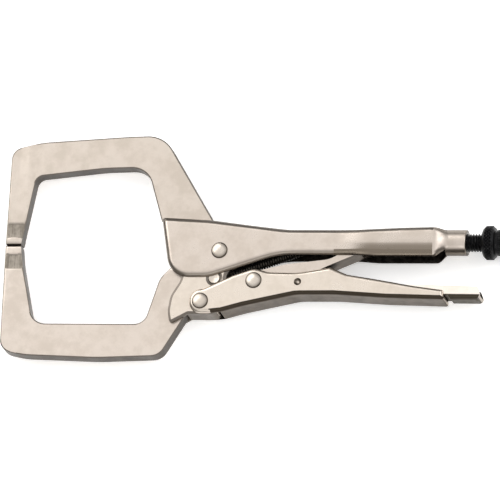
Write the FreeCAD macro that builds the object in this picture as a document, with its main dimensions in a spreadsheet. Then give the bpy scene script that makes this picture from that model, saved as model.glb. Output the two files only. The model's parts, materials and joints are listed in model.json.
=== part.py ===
"""Locking C-clamp pliers, 280 mm class, as an assembly of separate pieces.

Frame: millimetres. The pliers lie flat, so +Z is the axis of every pivot. +X runs from the jaw tips
to the adjusting knob, and +Y from the lower jaw to the upper jaw. The origin is the middle of the
contact between the two jaw tips.
"""
import FreeCAD, Part
import math
import os

import Sketcher
from FreeCAD import Placement, Rotation, Vector

# Driving dimensions: (alias, millimetres or degrees, what it is)
SIZES = [
    ("arm_thick", 8.0, "thickness of both jaw arms"),
    ("arm_slot", 8.1, "slot in the upper handle's top that the arm comes through"),
    ("knuckle_width", 12.0, "knuckle over its two sheets"),
    ("knuckle_inside", 8.0, "knuckle between its two sheets"),
    ("channel_width", 12.2, "inside width of both handles"),
    ("handle_width", 16.2, "outside width of both handles"),
    ("sheet_thick", 2.0, "pressed sheet of the handles and knuckle"),
    ("handle_corner", 3.2, "rolled corner along the upper handle's back"),
    ("lower_corner", 2.2, "rolled corner along the lower handle's web"),
    ("lever_corner", 2.8, "rolled corner under the release lever's tail"),
    ("pivot_x", 113.9, "main pivot, between jaws"),
    ("pivot_y", -4.4, "main pivot"),
    ("lever_x", 105.3, "pivot of the lower handle on the knuckle"),
    ("lever_y", -32.4, "pivot of the lower handle on the knuckle"),
    ("link_x", 133.6, "pivot of the toggle link on the lower handle"),
    ("link_y", -21.0, "pivot of the toggle link on the lower handle"),
    ("release_x", 157.6, "pivot of the release lever"),
    ("release_y", -21.8, "pivot of the release lever"),
    ("post_x", 111.6, "cross rivet that the return spring hooks on"),
    ("post_y", -19.1, "cross rivet that the return spring hooks on"),
    ("anchor_x", 160.0, "eye of the spring anchor"),
    ("anchor_y", -1.0, "eye of the spring anchor"),
    ("eye_dia", 3.4, "hole of the spring anchor"),
    ("screw_y", 2.2, "axis of the adjusting screw"),
    ("nose_x", 201.0, "centre of the toggle link's rear end when locked"),
    ("shank_dia", 6.0, "rivet shank"),
    ("shank_hole", 6.16, "running hole on a rivet shank"),
    ("head_dia", 8.8, "rivet head"),
    ("head_span", 18.6, "rivet over both heads"),
    ("head_round", 1.1, "rounding of a rivet head"),
    ("post_dia", 3.5, "cross rivet shank between the knuckle sheets"),
    ("post_head", 6.4, "flush head of the cross rivet"),
    ("bush_dia", 10.0, "spacer bush on the main pivot"),
    ("link_bush_dia", 8.0, "bush in the toggle link's eye"),
    ("link_eye_dia", 11.0, "toggle link's eye"),
    ("link_tip_dia", 6.0, "toggle link's rounded rear end"),
    ("link_width", 11.4, "toggle link across"),
    ("fork_gap", 6.6, "slot between the toggle link's two tines"),
    ("fork_depth", 60.0, "cut of the slot, right through the link"),
    ("release_dia", 4.0, "release lever pin"),
    ("release_hole", 4.16, "running hole on the release lever pin"),
    ("release_width", 11.6, "release lever across"),
    ("release_sheet", 2.2, "release lever's sheet"),
    ("nose_dia", 5.6, "swivel nose of the screw"),
    ("nose_socket", 5.76, "socket for the nose in the screw"),
    ("nose_start", 198.6, "front of the nose when locked"),
    ("nose_length", 18.4, "length of the nose"),
    ("socket_length", 6.0, "depth of the socket"),
    ("rod_dia", 9.6, "screw over its thread"),
    ("rod_start", 212.0, "front of the threaded rod when locked"),
    ("rod_length", 54.0, "length of the threaded rod"),
    ("sleeve_bore", 9.72, "bore of the threaded sleeve, at the thread's major diameter"),
    ("sleeve_dia", 11.4, "threaded sleeve pressed into the barrel"),
    ("sleeve_start", 236.6, "front of the threaded sleeve"),
    ("sleeve_length", 10.0, "length of the threaded sleeve"),
    ("barrel_dia", 13.8, "round barrel at the rear of the upper handle"),
    ("barrel_start", 235.6, "front of the barrel"),
    ("barrel_length", 11.0, "length of the barrel"),
    ("knob_start", 255.6, "front of the knurled knob"),
    ("flange_dia", 18.2, "knurled flange of the knob"),
    ("flange_length", 6.4, "length of the knurled flange"),
    ("flange_chamfer", 1.3, "chamfers of the knurled flange"),
    ("grip_dia", 14.0, "rear grip of the knob"),
    ("grip_length", 19.4, "length of the whole knob"),
    ("grip_chamfer", 1.2, "chamfer at the rear of the knob"),
    ("spring_slope", 20.5, "degrees from the X axis to the return spring"),
    ("coil_dia", 5.5, "return spring over its coils"),
    ("coil_inside", 3.1, "return spring inside its coils"),
    ("coil_length", 37.0, "length of the coils"),
    ("wire_dia", 1.2, "spring wire"),
    ("coil_gap", 4.5, "from the anchor's eye to the end of the coils"),
    ("hook_reach", 51.27, "from the anchor's eye to the middle of the front hook"),
    ("front_hook", 2.8, "front hook's radius to the middle of the wire"),
    ("rear_hook", 1.9, "rear hook's radius to the middle of the wire"),
    ("hook_lap", 1.0, "length that each hook's legs run into the coils"),
]

doc = FreeCAD.newDocument("locking_c_clamp_pliers")
sheet = doc.addObject("Spreadsheet::Sheet", "sizes")
for row, (alias, value, meaning) in enumerate(SIZES, start=1):
    sheet.set("A%d" % row, alias)
    sheet.set("B%d" % row, str(value))
    sheet.set("C%d" % row, meaning)
    sheet.setAlias("B%d" % row, alias)
doc.recompute()
size = {alias: value for alias, value, meaning in SIZES}
pieces = []

# ---------------------------------------------------------------- helpers


def new_body(label):
    """A PartDesign body that becomes one node."""
    body = doc.addObject("PartDesign::Body", label)
    body.Label = label
    pieces.append(body)
    return body


def new_sketch(body, name, role="XY_Plane", start=None):
    """A sketch on one of the body's own planes, moved along its normal to a sheet value."""
    sketch = body.newObject("Sketcher::SketchObject", name)
    plane = [item for item in body.Origin.OriginFeatures if item.Role == role][0]
    sketch.AttachmentSupport = [(plane, "")]
    sketch.MapMode = "FlatFace"
    if start:
        sketch.setExpression("AttachmentOffset.Base.z", "sizes." + start)
    return sketch


def rounded(corners):
    """Edges of a closed outline whose corners are (x, y, corner radius)."""
    points = [Vector(x, y, 0) for x, y, radius in corners]
    count = len(points)
    bends = []
    for index, point in enumerate(points):
        radius = corners[index][2]
        if radius == 0:
            bends.append((point, None, point))
            continue
        back = (points[index - 1] - point).normalize()
        ahead = (points[(index + 1) % count] - point).normalize()
        half = back.getAngle(ahead) / 2
        run = radius / math.tan(half)
        middle = (back + ahead).normalize()
        crown = point + middle * (radius / math.sin(half) - radius)
        bends.append((point + back * run, crown, point + ahead * run))
    edges = []
    for index, (first, crown, last) in enumerate(bends):
        if crown:
            edges.append(Part.Arc(first, crown, last))
        following = bends[(index + 1) % count][0]
        if (following - last).Length > 1e-6:
            edges.append(Part.LineSegment(last, following))
    return edges


def outline(sketch, corners):
    """Draw a fixed closed outline with rounded corners."""
    for edge in rounded(corners):
        place = sketch.addGeometry(edge, False)
        sketch.addConstraint(Sketcher.Constraint("Block", place))


def bind(sketch, kind, place, value, alias):
    """Add one driving constraint and tie it to the sheet."""
    arguments = [kind] + place + [value]
    number = sketch.addConstraint(Sketcher.Constraint(*arguments))
    name = "drive%d" % number
    sketch.renameConstraint(number, name)
    sketch.setExpression("Constraints." + name, "sizes." + alias)


def circle(sketch, diameter, across=None, up=None):
    """A circle whose diameter and centre are sheet values; no alias means on the axis."""
    centre = Vector(size.get(across, 0), size.get(up, 0), 0)
    place = sketch.addGeometry(Part.Circle(centre, Vector(0, 0, 1), size[diameter] / 2), False)
    bind(sketch, "Diameter", [place], size[diameter], diameter)
    sides = (("DistanceX", across, centre.x, -2), ("DistanceY", up, centre.y, -1))
    for kind, alias, value, axis in sides:
        if alias is None:
            sketch.addConstraint(Sketcher.Constraint("PointOnObject", place, 3, axis))
        else:
            bind(sketch, kind, [-1, 1, place, 3], value, alias)


def solid(body, sketch, kind, name, length, side="Symmetric"):
    """A Pad, or a Pocket that has to remove material; length is a sheet alias or a sum of them."""
    before = body.Shape.Volume if kind == "Pocket" else 0
    feature = body.newObject("PartDesign::" + kind, name)
    feature.Profile = sketch
    feature.SideType = side
    feature.Reversed = kind == "Pocket" and side == "One side"
    feature.setExpression("Length", length if "sizes." in length else "sizes." + length)
    doc.recompute()
    if kind == "Pocket" and body.Shape.Volume > before - 1:
        raise RuntimeError(name + " cuts nothing")
    return feature


def plate(body, name, corners, thickness):
    """Pad an outline evenly to both sides of the mid-plane."""
    sketch = new_sketch(body, name + "_outline")
    outline(sketch, corners)
    return solid(body, sketch, "Pad", name, thickness)


def cut_away(body, name, corners, width, role="XY_Plane"):
    """Pocket an outline evenly to both sides of one of the body's planes."""
    sketch = new_sketch(body, name + "_outline", role)
    outline(sketch, corners)
    solid(body, sketch, "Pocket", name, width)


def pivot_holes(body, name, holes, width):
    """Round holes along Z; each is (diameter, x, y) by alias."""
    sketch = new_sketch(body, name + "_circles")
    for diameter, across, up in holes:
        circle(sketch, diameter, across, up)
    solid(body, sketch, "Pocket", name, width)


def disc(body, name, diameter, across, up, length):
    """A round length along Z, even about the mid-plane."""
    sketch = new_sketch(body, name + "_circle")
    circle(sketch, diameter, across, up)
    return solid(body, sketch, "Pad", name, length)


def turned(body, name, diameter, start, length, kind="Pad"):
    """A round length along X on the screw axis, from a start to a length by alias."""
    sketch = new_sketch(body, name + "_circle", "YZ_Plane", start)
    circle(sketch, diameter, "screw_y", None)
    return solid(body, sketch, kind, name, length, "One side")


def edges_where(feature, test):
    """Names of the feature's edges whose middle and length pass a test."""
    names = []
    for number, edge in enumerate(feature.Shape.Edges, start=1):
        middle = edge.valueAt((edge.FirstParameter + edge.LastParameter) / 2)
        ends = [vertex.Point for vertex in edge.Vertexes]
        if test(middle, ends):
            names.append("Edge%d" % number)
    return names


def soften(body, feature, name, names, kind, alias):
    """Fillet or chamfer edges by a sheet value."""
    dressed = body.newObject("PartDesign::" + kind, name)
    dressed.Base = (feature, names)
    dressed.setExpression("Radius" if kind == "Fillet" else "Size", "sizes." + alias)
    doc.recompute()
    if not names or not dressed.isValid():
        raise RuntimeError(name + " is not made")


# ---------------------------------------------------------------- jaw arms

# Outlines below list their corners as (x, y, corner radius).
TIP_OUTER = -4.2
TIP_INNER = 4.1
TIP_BREAK = 0.8

UPPER_ARM = [
    (TIP_OUTER, 0, TIP_BREAK), (-4.5, 53.0, 6.5), (11.5, 57.0, 45), (60.0, 60.3, 90), (78.1, 60.8, 16),
    (108.3, 13.3, 0), (106.2, 6.6, 2), (100.8, -0.8, 2), (86.6, -0.8, 2), (84.6, 9.4, 2),
    (80.2, 13.2, 0.5), (70.4, 43.1, 12), (47.0, 42.4, 90), (9.8, 38.1, 5), (5.5, 9.0, 60),
    (TIP_INNER, 0, TIP_BREAK),
]

LOWER_ARM = [
    (TIP_OUTER, 0, TIP_BREAK), (-3.2, -58.5, 7.5), (10.0, -61.4, 40), (50.0, -63.0, 120),
    (84.2, -61.8, 8), (98.2, -36.9, 0), (112.4, -36.9, 3), (112.4, -28.0, 3), (101.5, -25.4, 1.5),
    (100.2, -15.0, 3), (97.0, -9.0, 3), (90.6, -9.0, 3), (81.5, -18.6, 12), (74.6, -44.0, 7),
    (13.6, -43.8, 9), (5.6, -10.0, 60), (TIP_INNER, 0, TIP_BREAK),
]

SPACER = [(85.4, 1.2, 1.5), (99.8, 1.2, 2), (105.0, 9.4, 1), (83.6, 11.2, 1)]


def build_arms():
    upper = new_body("upper_jaw_arm")
    plate(upper, "upper_arm_plate", UPPER_ARM, "arm_thick")
    lower = new_body("lower_jaw_arm")
    plate(lower, "lower_arm_plate", LOWER_ARM, "arm_thick")
    pivot_holes(lower, "lower_arm_hole", [("shank_hole", "lever_x", "lever_y")], "arm_thick")


def build_spacers():
    """Plates that fill the upper handle's channel on both sides of the arm's root."""
    for label, sense in (("upper_arm_spacer_front", 1), ("upper_arm_spacer_back", -1)):
        body = new_body(label)
        sketch = new_sketch(body, label + "_outline")
        outline(sketch, SPACER)
        feature = solid(body, sketch, "Pad", label + "_plate",
                        "(sizes.channel_width - sizes.arm_thick) / 2", "One side")
        feature.Reversed = sense < 0
        sketch.setExpression("AttachmentOffset.Base.z", "%d * sizes.arm_thick / 2" % sense)
        doc.recompute()


# ---------------------------------------------------------------- handles

UPPER_HANDLE = [
    (80.6, 14.7, 1.5), (108.0, 13.1, 60), (130.0, 10.2, 60), (150.0, 7.8, 60), (188.0, 7.7, 60),
    (212.0, 8.8, 60), (228.0, 9.2, 20), (237.4, 9.0, 0), (237.4, -4.6, 0), (231.5, -7.4, 5),
    (198.0, -7.4, 40),
    (186.0, -6.5, 40), (146.0, -6.5, 50), (108.5, -18.9, 22), (87.2, -18.9, 13),
]

UPPER_CHANNEL = [
    (70.0, 12.7, 0), (80.6, 12.7, 0), (108.0, 11.1, 60), (130.0, 8.2, 60), (150.0, 5.8, 60),
    (188.0, 5.7, 60), (207.0, 7.2, 40), (235.6, 7.2, 0), (235.6, -30.0, 0), (70.0, -30.0, 0),
]

ARM_SLOT = [(70.0, 20.0, 0), (110.2, 20.0, 0), (110.2, 9.0, 0), (70.0, 9.0, 0)]

LOWER_HANDLE = [
    (99.1, -38.8, 6.2), (99.1, -26.0, 6.2), (106.5, -25.2, 8), (122.0, -17.8, 20), (133.5, -13.8, 8),
    (141.0, -16.1, 12), (157.0, -16.4, 30), (168.0, -14.6, 8), (174.6, -13.4, 3), (184.0, -17.4, 10),
    (200.0, -20.0, 30), (220.0, -23.6, 60), (236.2, -25.8, 0.6), (237.4, -31.2, 1.2),
    (205.0, -30.3, 60), (178.0, -28.5, 60), (157.0, -28.5, 30), (128.0, -34.9, 60),
    (116.4, -38.1, 3), (110.0, -38.8, 20),
]

LOWER_CHANNEL = [
    (90.0, -45.0, 0), (116.4, -45.0, 0), (116.4, -36.0, 0), (128.0, -32.9, 60), (157.0, -26.5, 30),
    (178.0, -26.5, 60), (205.0, -28.3, 60), (236.0, -29.1, 0), (245.0, -29.4, 0),
    (245.0, 0.0, 0), (90.0, 0.0, 0),
]


def build_upper_handle():
    body = new_body("upper_handle")
    blank = plate(body, "upper_blank", UPPER_HANDLE, "handle_width")
    side = size["handle_width"] / 2

    def along_back(middle, ends):
        return middle.y > 7.0 and all(abs(abs(end.z) - side) < 0.01 for end in ends)

    soften(body, blank, "upper_back_roll", edges_where(blank, along_back), "Fillet", "handle_corner")
    turned(body, "barrel", "barrel_dia", "barrel_start", "barrel_length")
    cut_away(body, "upper_channel", UPPER_CHANNEL, "channel_width")
    cut_away(body, "arm_slot", ARM_SLOT, "arm_slot")
    turned(body, "barrel_bore", "sleeve_dia", "barrel_start", "barrel_length", "Pocket")
    pivot_holes(body, "main_rivet_hole", [("shank_dia", "pivot_x", "pivot_y")], "handle_width")


def build_lower_handle():
    body = new_body("lower_handle")
    blank = plate(body, "lower_blank", LOWER_HANDLE, "handle_width")
    side = size["handle_width"] / 2

    def along_web(middle, ends):
        under = middle.y < -28.2 and 116.0 < middle.x < 240.0
        return under and all(abs(abs(end.z) - side) < 0.01 for end in ends)

    soften(body, blank, "lower_web_roll", edges_where(blank, along_web), "Fillet", "lower_corner")
    cut_away(body, "lower_channel", LOWER_CHANNEL, "channel_width")
    holes = [("shank_dia", "lever_x", "lever_y"), ("shank_dia", "link_x", "link_y"),
             ("release_dia", "release_x", "release_y")]
    pivot_holes(body, "lower_rivet_holes", holes, "handle_width")


# ---------------------------------------------------------------- knuckle

KNUCKLE = [
    (88.9, -44.2, 1.5), (87.4, -37.5, 12), (88.4, -29.0, 12), (93.0, -21.0, 12), (95.6, -10.5, 6),
    (105.9, -2.0, 5), (105.9, 3.6, 8), (121.9, 3.6, 8), (121.9, -10.0, 8), (117.5, -17.0, 8),
    (117.8, -27.0, 8), (113.6, -38.9, 3.5), (98.6, -38.9, 1.0),
]

KNUCKLE_INSIDE = [
    (80.0, -50.0, 0), (98.2, -50.0, 0), (98.2, -36.9, 0), (130.0, -36.9, 0), (130.0, 10.0, 0),
    (80.0, 10.0, 0),
]


def build_knuckle():
    """Sheet folded round the lower arm's root: two sides joined by a web underneath."""
    body = new_body("knuckle")
    plate(body, "knuckle_blank", KNUCKLE, "knuckle_width")
    cut_away(body, "knuckle_inside", KNUCKLE_INSIDE, "knuckle_inside")
    holes = [("shank_hole", "pivot_x", "pivot_y"), ("shank_hole", "lever_x", "lever_y"),
             ("post_head", "post_x", "post_y")]
    pivot_holes(body, "knuckle_holes", holes, "knuckle_width")


# ---------------------------------------------------------------- rivets, bushes and pins


def thin_neck(body, label, neck, across, up, head, length):
    """Turn the middle of a rivet down from its head's diameter to its neck's."""
    sketch = new_sketch(body, label + "_neck_ring")
    circle(sketch, neck, across, up)
    centre = Vector(size[across], size[up], 0)
    ring = sketch.addGeometry(Part.Circle(centre, Vector(0, 0, 1), size[head]), False)
    sketch.addConstraint(Sketcher.Constraint("Coincident", ring, 3, 0, 3))
    bind(sketch, "Radius", [ring], size[head], head)
    solid(body, sketch, "Pocket", label + "_neck", length)


def build_rivet(label, across, up):
    body = new_body(label)
    shank = disc(body, label + "_heads", "head_dia", across, up, "head_span")
    crown = size["head_span"] / 2
    tops = edges_where(shank, lambda middle, ends: all(abs(abs(end.z) - crown) < 0.01 for end in ends))
    soften(body, shank, label + "_dome", tops, "Fillet", "head_round")
    thin_neck(body, label, "shank_dia", across, up, "head_dia", "handle_width")


def build_cross_rivet():
    """Flush rivet across the knuckle; its thin middle carries the return spring's hook."""
    body = new_body("knuckle_rivet")
    disc(body, "cross_heads", "post_head", "post_x", "post_y", "knuckle_width")
    thin_neck(body, "cross", "post_dia", "post_x", "post_y", "post_head", "knuckle_inside")


def build_ring(label, outer, inner, across, up, width):
    body = new_body(label)
    disc(body, label + "_round", outer, across, up, width)
    pivot_holes(body, label + "_bore", [(inner, across, up)], width)


def build_pin(label, diameter, across, up, width):
    body = new_body(label)
    disc(body, label + "_round", diameter, across, up, width)


# ---------------------------------------------------------------- toggle link and release lever

LINK = [
    (131.9, -15.8, 0), (150.0, -11.4, 30), (174.0, -8.6, 14), (188.0, 0.6, 20), (199.9, 5.0, 0),
    (202.0, -0.6, 0), (185.0, -7.0, 12), (172.6, -12.4, 8), (164.6, -16.3, 4), (152.0, -16.6, 10),
    (140.0, -22.6, 6), (136.0, -25.9, 0),
]

HALF_FORK = size["fork_gap"] / 2
FORK = [(190.0, HALF_FORK, 0.6), (190.0, -HALF_FORK, 0.6), (215.0, -HALF_FORK, 0), (215.0, HALF_FORK, 0)]

LEVER = [
    (153.6, -25.6, 3.6), (153.6, -17.9, 3.6), (172.4, -17.7, 2.5), (181.0, -21.6, 6), (200.0, -22.3, 30),
    (240.0, -23.2, 60), (254.6, -23.7, 1.2), (257.6, -30.5, 0), (240.4, -30.3, 0), (238.9, -28.3, 0),
    (205.0, -27.3, 60), (180.0, -25.6, 30),
]

LEVER_INSIDE = [
    (150.0, -10.0, 0), (163.0, -10.0, 0), (163.0, -20.0, 0.8), (170.0, -20.0, 0.8), (170.0, -10.0, 0),
    (270.0, -10.0, 0), (270.0, -28.3, 0), (240.4, -28.1, 0), (238.9, -26.1, 0), (205.0, -25.1, 30),
    (180.0, -23.4, 30), (150.0, -23.4, 0),
]


def build_toggle_link():
    body = new_body("toggle_link")
    plate(body, "link_web", LINK, "link_width")
    disc(body, "link_eye", "link_eye_dia", "link_x", "link_y", "link_width")
    disc(body, "link_tip", "link_tip_dia", "nose_x", "screw_y", "link_width")
    cut_away(body, "fork", FORK, "fork_depth", "XZ_Plane")
    pivot_holes(body, "link_hole", [("link_bush_dia", "link_x", "link_y")], "link_width")


def build_release_lever():
    """Pressed channel: a web along the bottom, two low sides and a finger under the link."""
    body = new_body("release_lever")
    blank = plate(body, "lever_blank", LEVER, "release_width")
    side = size["release_width"] / 2

    def under_tail(middle, ends):
        return middle.y < -30.3 and all(abs(abs(end.z) - side) < 0.01 for end in ends)

    soften(body, blank, "tail_roll", edges_where(blank, under_tail), "Fillet", "lever_corner")
    cut_away(body, "lever_inside", LEVER_INSIDE, "sizes.release_width - 2 * sizes.release_sheet")
    pivot_holes(body, "lever_hole", [("release_hole", "release_x", "release_y")], "release_width")


# ---------------------------------------------------------------- adjusting screw


def build_screw():
    sleeve = new_body("screw_sleeve")
    turned(sleeve, "sleeve_round", "sleeve_dia", "sleeve_start", "sleeve_length")
    turned(sleeve, "sleeve_hole", "sleeve_bore", "sleeve_start", "sleeve_length", "Pocket")
    nose = new_body("screw_nose")
    turned(nose, "nose_round", "nose_dia", "nose_start", "nose_length")
    rod = new_body("adjusting_screw")
    turned(rod, "rod_round", "rod_dia", "rod_start", "rod_length")
    turned(rod, "rod_socket", "nose_socket", "rod_start", "socket_length", "Pocket")


def build_knob():
    body = new_body("adjusting_knob")
    flange = turned(body, "knob_flange", "flange_dia", "knob_start", "flange_length")
    rims = edges_where(flange, lambda middle, ends: len(ends) == 1)
    soften(body, flange, "flange_chamfers", rims, "Chamfer", "flange_chamfer")
    grip = turned(body, "knob_grip", "grip_dia", "knob_start", "grip_length")
    rear = size["knob_start"] + size["grip_length"]
    soften(body, grip, "grip_chamfer", edges_where(grip, lambda middle, ends: middle.x > rear - 0.01),
           "Chamfer", "grip_chamfer")
    turned(body, "knob_bore", "rod_dia", "knob_start",
           "sizes.rod_start + sizes.rod_length - sizes.knob_start", "Pocket")


# ---------------------------------------------------------------- return spring

ANCHOR_TAB = [(157.4, -3.8, 1.5), (163.0, -3.8, 1.5), (166.0, 4.4, 1), (166.0, 5.5, 0), (154.0, 5.5, 0),
              (154.0, 4.4, 0), (157.4, 4.4, 0.5)]


def build_anchor():
    body = new_body("spring_anchor")
    plate(body, "anchor_tab", ANCHOR_TAB, "sheet_thick")
    pivot_holes(body, "anchor_eye", [("eye_dia", "anchor_x", "anchor_y")], "sheet_thick")


def primitive(kind, name, bindings, where, turn):
    """A Part primitive with sheet-driven sizes, placed in the spring's own frame."""
    item = doc.addObject("Part::" + kind, name)
    for field, expression in bindings.items():
        item.setExpression(field, expression)
    item.Placement = Placement(where, turn)
    return item


def build_spring():
    """Tension spring: close coils, a long front hook round the cross rivet, a rear hook in the eye.

    It is drawn along X with the anchor's eye at the origin, and then turned to its slope.
    """
    along = Rotation(Vector(0, 1, 0), 90)
    wire = "sizes.wire_dia / 2"
    coil_end = -size["coil_gap"]
    coil_start = coil_end - size["coil_length"]
    hook_middle = -size["hook_reach"]
    rear_middle = -size["wire_dia"] / 2 - size["rear_hook"]
    outer = primitive("Cylinder", "coil_outer", {"Radius": "sizes.coil_dia / 2",
                      "Height": "sizes.coil_length"}, Vector(coil_start, 0, 0), along)
    inner = primitive("Cylinder", "coil_inner", {"Radius": "sizes.coil_inside / 2",
                      "Height": "sizes.coil_length"}, Vector(coil_start, 0, 0), along)
    coil = doc.addObject("Part::Cut", "coil")
    coil.Base = outer
    coil.Tool = inner
    front = primitive("Torus", "front_hook", {"Radius1": "sizes.front_hook", "Radius2": wire},
                      Vector(hook_middle, 0, 0), Rotation(Vector(0, 0, 1), 90))
    upright = Rotation(Vector(1, 0, 0), 90) * Rotation(Vector(0, 0, 1), -90)
    rear = primitive("Torus", "rear_hook", {"Radius1": "sizes.rear_hook", "Radius2": wire},
                     Vector(rear_middle, 0, 0), upright)
    front.Angle3 = 180
    rear.Angle3 = 180
    members = [coil, front, rear]
    front_leg = "sizes.hook_reach - sizes.coil_gap - sizes.coil_length + sizes.hook_lap"
    rear_leg = "sizes.coil_gap - sizes.rear_hook - sizes.wire_dia / 2 + sizes.hook_lap"
    for sense in (1, -1):
        members.append(primitive("Cylinder", "front_leg", {"Radius": wire, "Height": front_leg},
                                 Vector(hook_middle, sense * size["front_hook"], 0), along))
        members.append(primitive("Cylinder", "rear_leg", {"Radius": wire, "Height": rear_leg},
                                 Vector(coil_end - size["hook_lap"], 0, sense * size["rear_hook"]), along))
    spring = doc.addObject("Part::MultiFuse", "return_spring")
    spring.Shapes = members
    spring.Label = "return_spring"
    slope = Rotation(Vector(0, 0, 1), size["spring_slope"])
    spring.Placement = Placement(Vector(size["anchor_x"], size["anchor_y"], 0), slope)
    spring.setExpression("Placement.Base.x", "sizes.anchor_x")
    spring.setExpression("Placement.Base.y", "sizes.anchor_y")
    pieces.append(spring)


# ---------------------------------------------------------------- whole tool

build_arms()
build_spacers()
build_upper_handle()
build_lower_handle()
build_knuckle()
build_rivet("main_pivot_rivet", "pivot_x", "pivot_y")
build_rivet("jaw_lever_rivet", "lever_x", "lever_y")
build_rivet("link_rivet", "link_x", "link_y")
build_cross_rivet()
build_ring("main_pivot_bush", "bush_dia", "shank_hole", "pivot_x", "pivot_y", "knuckle_inside")
build_ring("link_bush", "link_bush_dia", "shank_hole", "link_x", "link_y", "link_width")
build_pin("release_lever_pin", "release_dia", "release_x", "release_y", "handle_width")
build_toggle_link()
build_release_lever()
build_screw()
build_knob()
build_anchor()
build_spring()
doc.recompute()

for item in doc.Objects:
    if "Invalid" in item.State or "Error" in item.State:
        raise RuntimeError("%s failed to recompute" % item.Label)
for piece in pieces:
    if piece.Shape.isNull() or not piece.Shape.isValid():
        raise RuntimeError("%s has no valid shape" % piece.Label)
    if len(piece.Shape.Solids) != 1:
        raise RuntimeError("%s is %d solids" % (piece.Label, len(piece.Shape.Solids)))

os.makedirs("parts", exist_ok=True)
for piece in pieces:
    piece.Shape.exportStep("parts/%s.step" % piece.Label)
    box = piece.Shape.BoundBox
    print("%-24s %9.1f mm3  x %.1f..%.1f  y %.1f..%.1f  z %.1f..%.1f" % (
        piece.Label, piece.Shape.Volume, box.XMin, box.XMax, box.YMin, box.YMax, box.ZMin, box.ZMax))
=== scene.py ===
"""Looks of the locking C-clamp pliers: satin nickel plate, black oxide screw and knob."""
import bmesh
import bpy
import json
import math
from mathutils import Matrix, Vector


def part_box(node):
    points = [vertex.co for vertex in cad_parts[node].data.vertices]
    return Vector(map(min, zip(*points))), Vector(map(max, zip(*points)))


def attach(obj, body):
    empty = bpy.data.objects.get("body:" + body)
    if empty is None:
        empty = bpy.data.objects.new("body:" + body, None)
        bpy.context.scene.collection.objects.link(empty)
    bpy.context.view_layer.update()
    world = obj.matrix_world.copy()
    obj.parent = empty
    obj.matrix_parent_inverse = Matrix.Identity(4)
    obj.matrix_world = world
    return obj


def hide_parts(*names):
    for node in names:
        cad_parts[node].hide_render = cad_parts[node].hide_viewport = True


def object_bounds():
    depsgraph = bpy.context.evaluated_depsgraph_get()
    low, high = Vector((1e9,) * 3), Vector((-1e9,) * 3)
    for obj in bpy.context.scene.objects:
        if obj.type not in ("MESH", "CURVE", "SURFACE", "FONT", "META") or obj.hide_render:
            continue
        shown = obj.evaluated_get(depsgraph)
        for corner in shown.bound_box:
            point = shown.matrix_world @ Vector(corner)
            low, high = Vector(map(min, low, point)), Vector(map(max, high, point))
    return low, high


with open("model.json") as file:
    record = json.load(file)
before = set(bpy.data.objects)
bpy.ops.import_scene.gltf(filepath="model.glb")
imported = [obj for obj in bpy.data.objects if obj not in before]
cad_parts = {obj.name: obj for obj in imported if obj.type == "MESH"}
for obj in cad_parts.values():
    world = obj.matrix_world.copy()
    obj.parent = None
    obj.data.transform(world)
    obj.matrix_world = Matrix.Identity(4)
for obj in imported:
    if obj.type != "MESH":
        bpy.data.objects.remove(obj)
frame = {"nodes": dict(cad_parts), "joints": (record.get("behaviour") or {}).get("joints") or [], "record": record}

CAD_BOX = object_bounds()
MM = 0.001
BODY_OF = {node: body for body, nodes in frame["record"]["behaviour"]["bodies"].items() for node in nodes}
SLOT_OF = {part["node"]: part["material_slot"] for part in frame["record"]["subparts"]}


# ---------------------------------------------------------------- materials


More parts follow.
